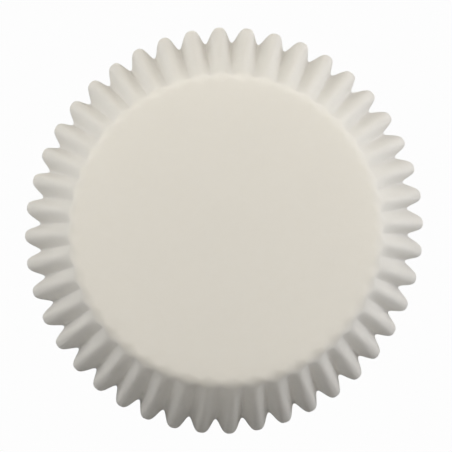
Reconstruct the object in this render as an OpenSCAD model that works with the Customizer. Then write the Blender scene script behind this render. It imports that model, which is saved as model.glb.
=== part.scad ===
// Fluted paper baking cup, resting mouth down on its rim with its flat base on top.
// One round blank of paper, pressed into a flat base, a rounded corner and a flaring wall of flutes.
// The paper isn't stretched: the flutes take up just what is spare as the wall stands up from the blank.
// Millimetres and degrees. Z is the cup's axis, and Z = 0 is the surface that the rim stands on.

/* [Cup] */
// Diameter of the base, to the sharp corner where its plane and the wall would meet
base_d = 50; // [36:1:70]
// Paper from that corner to the rim, so the blank's diameter is the base's and twice this
wall_len = 32; // [22:1:45]
// Outward lean of the wall from upright
wall_lean = 20; // [14:1:30]
// Radius of the rounded corner between the base and the wall
corner_r = 2; // [1:0.1:4]
// Thickness of the paper
paper_t = 0.1; // [0.06:0.01:0.2]

/* [Flutes] */
// Number of flutes around the wall
flute_count = 44; // [32:1:48]
// How much narrower the valleys are than the crests, 0 where they are alike
valley_pinch = 0.2; // [0:0.05:0.3]

/* [Hidden] */

// Facets around one flute, an even number so that each crest and each valley has a point of its own
flute_facets = 10;
// Steps in which the paper turns through the corner, and in which it runs down the wall
corner_steps = 3;
wall_steps = 2;
// Width of the flat ring by which the skirt overlaps the base disc
seam_w = 1;

base_r = base_d / 2;
blank_r = base_r + wall_len;
corner_turn = 90 - wall_lean;
flat_r = base_r - corner_r * tan(corner_turn / 2);
corner_arc = corner_r * corner_turn * PI / 180;
straight_len = blank_r - flat_r - corner_arc;
seam_r = flat_r - seam_w;

// Height of the wave at a phase of one flute: 0 is the crest, 180 the valley, and they lie 2 apart
function wave(phase) = cos(phase) - valley_pinch * cos(2 * phase);
// How fast that height changes per radian of phase
function wave_rate(phase) = 2 * valley_pinch * sin(2 * phase) - sin(phase);

// Depth of the flutes that take up the spare paper where a circle of the blank is gathered to a smaller ring
function flute_depth(paper_r, ring_r) =
    let (spare = paper_r / ring_r - 1, pinch_share = 4 * valley_pinch * valley_pinch)
    2 * ring_r / flute_count * sqrt((4 * spare + 3 * spare * spare) / (1 + pinch_share));

// The rim's valleys dip lowest, because the flutes swing square to the leaning wall
rim_r = flat_r + corner_r * cos(wall_lean) + straight_len * sin(wall_lean);
rim_dip = (paper_t - flute_depth(blank_r, rim_r) * wave(180)) / 2 * sin(wall_lean);
mid_z = corner_r * (1 - sin(wall_lean)) + straight_len * cos(wall_lean) + rim_dip;
height = mid_z + paper_t / 2;

// Where a circle of the blank ends up at mid paper
// A station is [ring's radius, its height, the turn of its normal from upright, depth of its flutes]
function station(paper_r) =
    let (
        turn = min((paper_r - flat_r) / corner_r * 180 / PI, corner_turn),
        run = max(paper_r - flat_r - corner_arc, 0),
        ring_r = flat_r + corner_r * sin(turn) + run * sin(wall_lean),
        z = mid_z - corner_r * (1 - cos(turn)) - run * cos(wall_lean)
    )
    [ring_r, z, turn, flute_depth(paper_r, ring_r)];

// The wall's stations crowd towards the corner, where the flutes deepen fastest
stations = [
    for (i = [0 : corner_steps]) station(flat_r + corner_arc * i / corner_steps),
    for (i = [1 : wall_steps]) station(blank_r - straight_len * (1 - pow(i / wall_steps, 2)))
];

// A point on one face of the paper, side 1 outside and -1 inside, half its thickness from mid paper
function skin_point(at, angle, side) =
    let (
        phase = angle * flute_count,
        slope = at[3] / 2 * wave_rate(phase) * flute_count / at[0],
        lift = side * paper_t / 2 / sqrt(1 + slope * slope),
        out = at[3] / 2 * wave(phase) + lift,
        along = -lift * slope,
        r = at[0] + out * sin(at[2]),
        z = at[1] + out * cos(at[2])
    )
    [r * cos(angle) - along * sin(angle), r * sin(angle) + along * cos(angle), z];

// Faces between two rings of n points, given by the index of each ring's first point
function band(from, to, n) = [
    for (c = [0 : n - 1])
        let (next = (c + 1) % n)
        each [[from + c, from + next, to + next], [from + c, to + next, to + c]]
];

// Outline of the flat beside one flute, from a fluted ring's points to the two of a seam ring
function flat_patch(ring, seam, f) = [
    for (c = [0 : flute_facets]) ring + (f * flute_facets + c) % (flute_count * flute_facets),
    seam + (f + 1) % flute_count,
    seam + f
];

function reversed(list) = [for (i = [len(list) - 1 : -1 : 0]) list[i]];

// Closed band of paper: down the outside, across the cut rim, up the inside and across the seam
module fluted_skirt() {
    columns = flute_count * flute_facets;
    sides = [
        for (at = stations) [at, 1],
        for (at = reversed(stations)) [at, -1]
    ];
    inner_ring = (len(sides) - 1) * columns;
    seam = len(sides) * columns;
    points = [
        for (side = sides, c = [0 : columns - 1]) skin_point(side[0], 360 * c / columns, side[1]),
        for (z = [height, height - paper_t], f = [0 : flute_count - 1])
            [seam_r * cos(360 * f / flute_count), seam_r * sin(360 * f / flute_count), z]
    ];
    faces = [
        for (i = [0 : len(sides) - 2]) each band(i * columns, (i + 1) * columns, columns),
        for (f = [0 : flute_count - 1]) reversed(flat_patch(0, seam, f)),
        for (f = [0 : flute_count - 1]) flat_patch(inner_ring, seam + flute_count, f),
        each band(seam + flute_count, seam, flute_count)
    ];
    polyhedron(points = points, faces = faces, convexity = 10);
}

module base_disc() {
    translate([0, 0, height - paper_t])
        cylinder(r = flat_r - seam_w / 2, h = paper_t, $fn = 180);
}

module liner() {
    color([0.86, 0.84, 0.79])
        union() {
            fluted_skirt();
            base_disc();
        }
}

liner();
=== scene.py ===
# A fluted paper baking cup, lying mouth down on its rim and seen from almost straight above.
# The frame is in metres. The sheet of paper is worked out in millimetres and scaled once, at the end.

import math
import random

import bpy
import numpy as np
from mathutils import Matrix, Vector


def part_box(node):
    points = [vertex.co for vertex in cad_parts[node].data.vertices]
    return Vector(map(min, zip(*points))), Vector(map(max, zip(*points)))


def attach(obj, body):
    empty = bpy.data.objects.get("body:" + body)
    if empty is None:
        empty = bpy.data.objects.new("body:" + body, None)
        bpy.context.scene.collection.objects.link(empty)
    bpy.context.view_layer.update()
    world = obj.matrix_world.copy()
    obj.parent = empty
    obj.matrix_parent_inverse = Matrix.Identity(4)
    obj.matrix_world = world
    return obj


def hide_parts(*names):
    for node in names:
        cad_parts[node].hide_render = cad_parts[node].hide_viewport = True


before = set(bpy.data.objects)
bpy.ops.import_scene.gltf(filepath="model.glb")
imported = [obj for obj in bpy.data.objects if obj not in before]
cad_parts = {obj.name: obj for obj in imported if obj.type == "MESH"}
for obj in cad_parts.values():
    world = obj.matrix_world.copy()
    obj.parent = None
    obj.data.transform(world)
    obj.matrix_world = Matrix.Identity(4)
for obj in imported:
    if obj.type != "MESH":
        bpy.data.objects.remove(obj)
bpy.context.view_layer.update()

# One millimetre, in the frame's metres
MM = 0.001

# The cup's sizes, in millimetres. The corner's radius is its mean round the cup.
BASE_R = 25.0
WALL_LEN = 32.0
WALL_LEAN = math.radians(20)
CORNER_R = 1.8
PAPER_T = 0.1
FLUTES = 44
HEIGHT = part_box("liner")[1].z / MM

# What follows from them
BLANK_R = BASE_R + WALL_LEN
CORNER_TURN = math.pi / 2 - WALL_LEAN
FLAT_R = BASE_R - CORNER_R * math.tan(CORNER_TURN / 2)
CORNER_ARC = CORNER_R * CORNER_TURN
MID_Z = HEIGHT - PAPER_T / 2

# The flutes' section. They leave the corner as folds, which would come to a point where their sharpness is 1,
# and open towards the rim into a round wave, whose pinch makes its valleys narrower than its crests.
CREST_SHARPNESS = 0.6
VALLEY_SHARPNESS = 0.98
VALLEY_PINCH = 0.205
# A wave is longer than its base by half its mean square slope, and by less than that where it is steep.
# This makes up the difference.
STEEP_WAVE = 1.5
# The dies crush this depth of fold into the corner, beyond what its spare paper gives
CRUSHED_DEPTH = 0.08
# At the corner the flutes have only this share of their depth, as fine creases take up some of the paper
DEPTH_AT_CORNER = 0.8
# The corner's radius is larger by this at the crests, and smaller by this in the valleys
CORNER_SWING = 0.5
# The flat base falls off a little towards its corner, from this radius on
CROWN_FROM = 16.0
CROWN_FALL = 0.15

# How finely the sheet is divided. The wall's rows lie closer near the corner where their bunching is above 1.
COLUMNS_PER_FLUTE = 32
CORNER_ROWS = 10
WALL_ROWS = 18
ROW_BUNCHING = 1.5
COLUMNS = FLUTES * COLUMNS_PER_FLUTE
# Each ring of the flat base has this share of the radius of the one outside it
BASE_RING_STEP = 0.92

# How this cup differs from a perfect one. Each swing is (times round the cup, size, direction in degrees),
# and is largest towards that direction. Each jitter is random from flute to flute.
FIRST_CREST = math.radians(1.8)
# Turns the flutes about the axis, in full at the rim
SPACING = [(1, math.radians(0.27), 0), (2, math.radians(0.36), 22), (3, math.radians(0.11), -12)]
SPACING_JITTER = math.radians(0.06)
# Turns the flutes about the axis, in full at the corner
TWIST_ALL = math.radians(0.2)
TWIST = [(1, math.radians(1.0), 350)]
TWIST_JITTER = math.radians(0.5)
# Turns the crests about the axis and the valleys the other way, in full at the rim
LEAN_ALL = math.radians(-0.17)
LEAN = [(1, math.radians(-0.10), 77), (2, math.radians(-0.14), 3)]
# Adds a share of the flutes' depth
DEPTH = [(3, 0.04, -28), (4, 0.04, 18)]
DEPTH_JITTER = 0.04
# Adds a share of the crushed depth
CRUSHED_JITTER = 0.8
# Adds a share of the radius, in full at the rim
OVAL = [(2, 0.015, 67)]
# Adds to the corner's radius, in millimetres
CORNER = [(1, 0.4, 270)]
JITTER_SEED = 44


def swing(angle, parts):
    """The sum of some swings at each angle round the cup."""
    return sum(size * np.cos(times * (angle - math.radians(towards))) for times, size, towards in parts)


def jitter(phase, size, chance):
    """A smooth random value round the cup, with one chosen value for each flute."""
    values = np.array([chance.uniform(-size, size) for _ in range(FLUTES)])
    flute = phase / (2 * math.pi)
    before = np.floor(flute).astype(int)
    share = (1 - np.cos(math.pi * (flute - before))) / 2
    return values[before % FLUTES] * (1 - share) + values[(before + 1) % FLUTES] * share


def ease(share):
    """Runs from 0 to 1 with the share, starting and ending gently."""
    share = min(max(share, 0), 1)
    return share * share * (3 - 2 * share)


def wave(phase, down):
    """Height of the flutes, with crests at phase 0 and valleys half a turn on, 2 lower.

    They are folds at the corner, where down is 0, and round at the rim, where it is 1.
    """
    difference = VALLEY_SHARPNESS - CREST_SHARPNESS
    sharpness = (CREST_SHARPNESS + VALLEY_SHARPNESS - difference * np.cos(phase)) / 2
    folded = np.arcsin(sharpness * np.cos(phase)) / np.arcsin(sharpness)
    rounded = np.cos(phase) - VALLEY_PINCH * np.cos(2 * phase)
    return folded + (rounded - folded) * ease(down)


def flute_depth(paper_r, ring_r, phase, height, crushed):
    """Depth that takes up the spare paper of a circle gathered to a smaller ring, and what is crushed in."""
    spare = paper_r / ring_r - 1
    steepness = np.mean(np.gradient(height, phase) ** 2)
    taken_up = 2 * ring_r / FLUTES * math.sqrt((2 * spare + STEEP_WAVE * spare**2) / steepness)
    return np.hypot(taken_up, crushed)


def crown(r):
    """How far the base and its corner lie below the middle of the base, by the cube of the way out."""
    share = (np.clip(r, CROWN_FROM, BASE_R) - CROWN_FROM) / (BASE_R - CROWN_FROM)
    return CROWN_FALL * share**3


def station(paper_r):
    """Where a circle of the blank ends up: its radius and height, and its normal's turn from upright."""
    turn = min((paper_r - FLAT_R) / CORNER_R, CORNER_TURN)
    run = max(paper_r - FLAT_R - CORNER_ARC, 0)
    ring_r = FLAT_R + CORNER_R * math.sin(turn) + run * math.sin(WALL_LEAN)
    z = MID_Z - CORNER_R * (1 - math.cos(turn)) - run * math.cos(WALL_LEAN)
    return ring_r, z, turn


def skirt_rows():
    """Radii on the blank of the skirt's rows, from the flat's edge through the corner to the rim."""
    run = BLANK_R - FLAT_R - CORNER_ARC
    corner = [FLAT_R + CORNER_ARC * i / CORNER_ROWS for i in range(CORNER_ROWS + 1)]
    wall = [BLANK_R - run * (1 - (i / WALL_ROWS) ** ROW_BUNCHING) for i in range(1, WALL_ROWS + 1)]
    return corner + wall


def skirt_points():
    """The skirt at mid paper, as an array of rows, columns and coordinates."""
    chance = random.Random(JITTER_SEED)
    phase = np.arange(COLUMNS) * 2 * math.pi / COLUMNS_PER_FLUTE
    around = phase / FLUTES
    spacing = swing(around, SPACING) + jitter(phase, SPACING_JITTER, chance)
    depth_share = 1 + swing(around, DEPTH) + jitter(phase, DEPTH_JITTER, chance)
    lean = LEAN_ALL + swing(around, LEAN)
    twist = TWIST_ALL + swing(around, TWIST) + jitter(phase, TWIST_JITTER, chance)
    crushed = CRUSHED_DEPTH * (1 + jitter(phase, CRUSHED_JITTER, chance))
    oval = swing(around, OVAL)
    corner = swing(around, CORNER)
    rows = []
    for paper_r in skirt_rows():
        ring_r, z, turn = station(paper_r)
        # The share of the way down the skirt, from 0 at the flat's edge to 1 at the rim
        down = (paper_r - FLAT_R) / (BLANK_R - FLAT_R)
        height = wave(phase, down)
        depth = depth_share * (DEPTH_AT_CORNER + (1 - DEPTH_AT_CORNER) * down)
        out = flute_depth(paper_r, ring_r, phase, height, crushed) / 2 * depth * height
        # The flutes stand out level at the corner, and square to the leaning wall at the rim
        rise = WALL_LEAN * down
        # What is added to the corner's radius fades out down the wall
        rounder = (corner + CORNER_SWING * height) * (1 - down) ** 2
        angle = FIRST_CREST + around + down * (spacing + lean * height) + (1 - down) * twist
        r = ring_r + out * math.cos(rise) + rounder * (math.sin(turn) - math.tan(CORNER_TURN / 2))
        r *= 1 + down * oval
        z += out * math.sin(rise) - rounder * (1 - math.cos(turn)) - crown(ring_r)
        rows.append(np.stack([r * np.cos(angle), r * np.sin(angle), z], axis=-1))
    return np.array(rows)


def base_rings(edge_angles):
    """The flat base's rings: each has half the points of the one outside it, down to one for each flute."""
    rings = []
    count = len(edge_angles)
    angles = edge_angles
    r = FLAT_R
    while count > FLUTES:
        angles = angles[::2]
        count //= 2
        r *= BASE_RING_STEP
        z = np.full(count, MID_Z - crown(r))
        rings.append(np.stack([r * np.cos(angles), r * np.sin(angles), z], axis=-1))
    return rings


def unit(vectors):
    """The vectors, each at length 1."""
    return vectors / np.linalg.norm(vectors, axis=-1, keepdims=True)


def normals_of(points):
    """Normals of the skirt, outwards, from the points beside each one."""
    across = np.roll(points, -1, axis=1) - np.roll(points, 1, axis=1)
    down = np.gradient(points, axis=0)
    normals = unit(np.cross(down, across))
    # The first row is the edge of the flat base
    normals[0] = (0, 0, 1)
    return normals


def turned(face, flip):
    """The face as it is, or turned over."""
    return face[::-1] if flip else face


def ring_faces(start, other, count, flip):
    """Quads between two rings of as many points."""
    faces = []
    for c in range(count):
        n = (c + 1) % count
        faces.append(turned([start + c, other + c, other + n, start + n], flip))
    return faces


def halving_faces(outer, inner, count, flip):
    """Triangles between a ring of count points and one inside it with half as many."""
    faces = []
    for i in range(count // 2):
        a = outer + 2 * i
        b = a + 1
        c = outer + (2 * i + 2) % count
        d = inner + i
        e = inner + (i + 1) % (count // 2)
        faces.extend(turned(face, flip) for face in ([a, b, d], [b, e, d], [b, c, e]))
    return faces


def fan_faces(ring, centre, count, flip):
    """Triangles between a ring of points and the one at its centre."""
    return [turned([ring + c, ring + (c + 1) % count, centre], flip) for c in range(count)]


def add_skin(vertices, faces, skin, rings, side):
    """Adds the outer skin for side 1, or the inner for side -1, and returns where its rim's points start."""
    flip = side < 0
    first = len(vertices)
    rim = first + (len(skin) - 1) * COLUMNS
    vertices.extend(skin.reshape(-1, 3))
    for row in range(first, rim, COLUMNS):
        faces.extend(ring_faces(row, row + COLUMNS, COLUMNS, flip))
    outer = first
    count = COLUMNS
    for ring in rings:
        inner = len(vertices)
        vertices.extend(ring + (0, 0, side * PAPER_T / 2))
        faces.extend(halving_faces(outer, inner, count, flip))
        outer = inner
        count //= 2
    centre = len(vertices)
    vertices.append((0, 0, MID_Z + side * PAPER_T / 2))
    faces.extend(fan_faces(outer, centre, count, flip))
    return rim


def sharpen_rim(mesh, rims):
    """Marks the edges along the rim's two rings as sharp, so that the cut edge shades flat."""
    rim_points = {rim + c for rim in rims for c in range(COLUMNS)}
    for edge in mesh.edges:
        a, b = edge.vertices
        if a in rim_points and b in rim_points and abs(a - b) in (1, COLUMNS - 1):
            edge.use_edge_sharp = True


def paper_mesh(name):
    """The whole sheet as one closed shell: both skins, and the cut edge round the rim."""
    skirt = skirt_points()
    normals = normals_of(skirt)
    rings = base_rings(np.arctan2(skirt[0, :, 1], skirt[0, :, 0]))
    vertices = []
    faces = []
    rims = []
    for side in (1, -1):
        skin = skirt + normals * side * PAPER_T / 2
        rims.append(add_skin(vertices, faces, skin, rings, side))
    faces.extend(ring_faces(rims[0], rims[1], COLUMNS, False))
    # The cup stands on its lowest points, and is as high as the solid
    points = np.array(vertices)
    points[:, 2] -= points[:, 2].min()
    points[:, 2] *= HEIGHT / points[:, 2].max()
    mesh = bpy.data.meshes.new(name)
    mesh.from_pydata((points * MM).tolist(), [], faces)
    mesh.polygons.foreach_set("use_smooth", np.ones(len(mesh.polygons), bool))
    sharpen_rim(mesh, rims)
    mesh.update()
    return mesh


def new_material(name):
    """A material, and its empty node tree."""
    material = bpy.data.materials.new(name)
    material.use_nodes = True
    material.node_tree.nodes.clear()
    return material, material.node_tree


def add_node(tree, kind, **sockets):
    """A shader node with some of its inputs set or linked, by name with _ for a space."""
    node = tree.nodes.new(kind)
    for name, value in sockets.items():
        socket = node.inputs[name.replace("_", " ")]
        if isinstance(value, bpy.types.NodeSocket):
            tree.links.new(value, socket)
        else:
            socket.default_value = value
    return node


def mix_colours(tree, share, first, second):
    """A colour that goes from the first to the second with the share."""
    mix = tree.nodes.new("ShaderNodeMix")
    mix.data_type = "RGBA"
    # The node has these sockets once for each kind of value, so they are taken by their place
    tree.links.new(share, mix.inputs[0])
    mix.inputs[6].default_value = (*first, 1)
    mix.inputs[7].default_value = (*second, 1)
    return mix.outputs[2]


def mix_shaders(tree, share, first, second):
    """A shader that goes from the first to the second with the share."""
    mix = add_node(tree, "ShaderNodeMixShader", Fac=share)
    tree.links.new(first, mix.inputs[1])
    tree.links.new(second, mix.inputs[2])
    return mix.outputs["Shader"]


# The paper. Where its fibres lie thicker it is cloudy and cockles, and each fibre is a fine bump.
# The scales are cells in a metre.
CLOUDS = {"Scale": 420.0, "Detail": 4.0, "Roughness": 0.6}
FIBRES = {"Scale": 5200.0, "Detail": 3.0, "Roughness": 0.7}
COCKLE_HEIGHT = 0.06 * MM
FIBRE_HEIGHT = 0.02 * MM
BUMP_STRENGTH = 0.5
# The clouds' two tones, and the values between 0 and 1 at which the noise reaches them
CLOUD_DARK = (0.952, 0.945, 0.932)
CLOUD_LIGHT = (0.966, 0.960, 0.949)
DARK_AT = 0.3
LIGHT_AT = 0.7
PAPER_ROUGHNESS = 0.72
PAPER_GLOSS = 0.25
# Share of the light that each face of the thin paper lets through
LET_THROUGH = 0.62


def paper_material():
    """Bleached greaseproof paper: warm white, cloudy where the fibres lie thicker, faintly cockled."""
    material, tree = new_material("greaseproof_paper")
    place = tree.nodes.new("ShaderNodeTexCoord").outputs["Object"]
    clouds = add_node(tree, "ShaderNodeTexNoise", Vector=place, **CLOUDS).outputs["Fac"]
    fibres = add_node(tree, "ShaderNodeTexNoise", Vector=place, **FIBRES).outputs["Fac"]
    tone = add_node(tree, "ShaderNodeMapRange", Value=clouds, From_Min=DARK_AT, From_Max=LIGHT_AT)
    colour = mix_colours(tree, tone.outputs["Result"], CLOUD_DARK, CLOUD_LIGHT)
    fine = add_node(tree, "ShaderNodeBump", Height=fibres, Distance=FIBRE_HEIGHT, Strength=BUMP_STRENGTH)
    cockle = add_node(
        tree,
        "ShaderNodeBump",
        Height=clouds,
        Distance=COCKLE_HEIGHT,
        Strength=BUMP_STRENGTH,
        Normal=fine.outputs["Normal"],
    )
    normal = cockle.outputs["Normal"]
    surface = add_node(
        tree,
        "ShaderNodeBsdfPrincipled",
        Base_Color=colour,
        Roughness=PAPER_ROUGHNESS,
        Specular_IOR_Level=PAPER_GLOSS,
        Normal=normal,
    )
    through = add_node(tree, "ShaderNodeBsdfTranslucent", Color=colour, Normal=normal)
    paper = mix_shaders(tree, LET_THROUGH, surface.outputs["BSDF"], through.outputs["BSDF"])
    add_node(tree, "ShaderNodeOutputMaterial", Surface=paper)
    return material


def make_liner():
    """The paper cup, which stands for the plain solid."""
    liner = bpy.data.objects.new("paper_cup", paper_mesh("paper_cup"))
    bpy.context.scene.collection.objects.link(liner)
    liner.data.materials.append(paper_material())
    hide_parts("liner")
    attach(liner, "root")


# The studio. The floor and what lies round it show as plain white. The cup is lit by soft lights, by a very
# faint blue sky, and by what the pale floor throws back.
FLOOR_SIZE = 1.0
SEEN_WHITE = 0.983
FLOOR_TONE = (0.58, 0.59, 0.62)
SKY_COLOUR = (0.4, 0.6, 1.0)
SKY_STRENGTH = 0.012


def seen_and_unseen(tree, seen, unseen):
    """A shader that the camera sees as one thing and light meets as another."""
    path = tree.nodes.new("ShaderNodeLightPath")
    return mix_shaders(tree, path.outputs["Is Camera Ray"], unseen.outputs[0], seen.outputs[0])


def make_floor():
    """A square of floor under the cup."""
    mesh = bpy.data.meshes.new("floor")
    half = FLOOR_SIZE / 2
    corners = [(-half, -half, 0), (half, -half, 0), (half, half, 0), (-half, half, 0)]
    mesh.from_pydata(corners, [], [(0, 1, 2, 3)])
    floor = bpy.data.objects.new("floor", mesh)
    bpy.context.scene.collection.objects.link(floor)
    material, tree = new_material("floor_white")
    white = add_node(tree, "ShaderNodeEmission", Color=(1, 1, 1, 1), Strength=SEEN_WHITE)
    pale = add_node(tree, "ShaderNodeBsdfDiffuse", Color=(*FLOOR_TONE, 1))
    add_node(tree, "ShaderNodeOutputMaterial", Surface=seen_and_unseen(tree, white, pale))
    mesh.materials.append(material)


def make_world():
    """What lies round the floor, and the sky."""
    world = bpy.data.worlds.new("studio")
    bpy.context.scene.world = world
    world.use_nodes = True
    tree = world.node_tree
    tree.nodes.clear()
    white = add_node(tree, "ShaderNodeBackground", Color=(1, 1, 1, 1), Strength=SEEN_WHITE)
    sky = add_node(tree, "ShaderNodeBackground", Color=(*SKY_COLOUR, 1), Strength=SKY_STRENGTH)
    add_node(tree, "ShaderNodeOutputWorld", Surface=seen_and_unseen(tree, white, sky))


def aim(obj, place, target):
    """Puts a lamp or camera at a place, looking at a target, with +Y towards the top of its picture."""
    back = (Vector(place) - Vector(target)).normalized()
    right = Vector((0, 1, 0)).cross(back).normalized()
    obj.matrix_world = Matrix((right, back.cross(right), back)).transposed().to_4x4()
    obj.location = place


# The soft lights hang round the cup, all at this distance and of this size in metres
LIGHT_DISTANCE = 0.6
LIGHT_SIZE = 0.45
WARM = (1.0, 0.915, 0.755)
CREAM = (1.0, 0.99, 0.915)
COOL = (0.96, 0.97, 1.0)


def make_light(name, azimuth, elevation, brightness, colour):
    """A square soft light, with its azimuth in degrees anticlockwise from +X.

    Alone, it would show a white card that faces it at about its brightness.
    """
    light = bpy.data.lights.new(name, "AREA")
    light.size = LIGHT_SIZE
    light.energy = brightness * math.pi**2 * LIGHT_DISTANCE**2
    light.color = colour
    lamp = bpy.data.objects.new(name, light)
    bpy.context.scene.collection.objects.link(lamp)
    azimuth = math.radians(azimuth)
    elevation = math.radians(elevation)
    flat = LIGHT_DISTANCE * math.cos(elevation)
    place = (flat * math.cos(azimuth), flat * math.sin(azimuth), LIGHT_DISTANCE * math.sin(elevation))
    aim(lamp, place, (0, 0, HEIGHT / 2 * MM))


# The camera looks down from a little left of the cup's axis. Its sizes and places are in metres.
CAMERA_HEIGHT = 0.225
CAMERA_X = -0.00238
LOOK_AT = (0.00031, 0.00086, 0)
VIEW_WIDTH = 0.0839


def make_camera():
    """The camera, whose picture is VIEW_WIDTH across at the floor."""
    data = bpy.data.cameras.new("camera")
    data.angle = 2 * math.atan(VIEW_WIDTH / 2 / CAMERA_HEIGHT)
    camera = bpy.data.objects.new("camera", data)
    bpy.context.scene.collection.objects.link(camera)
    aim(camera, (CAMERA_X, 0, CAMERA_HEIGHT), LOOK_AT)
    bpy.context.scene.camera = camera


make_liner()
make_floor()
make_world()
make_light("right", azimuth=9, elevation=15, brightness=0.615, colour=COOL)
make_light("left", azimuth=170, elevation=15, brightness=0.28, colour=COOL)
make_light("back_right", azimuth=30, elevation=40, brightness=0.22, colour=CREAM)
make_light("back_left", azimuth=146, elevation=40, brightness=0.41, colour=CREAM)
make_light("overhead", azimuth=83, elevation=68, brightness=0.62, colour=WARM)
make_camera()
bpy.context.scene.view_settings.view_transform = "Standard"
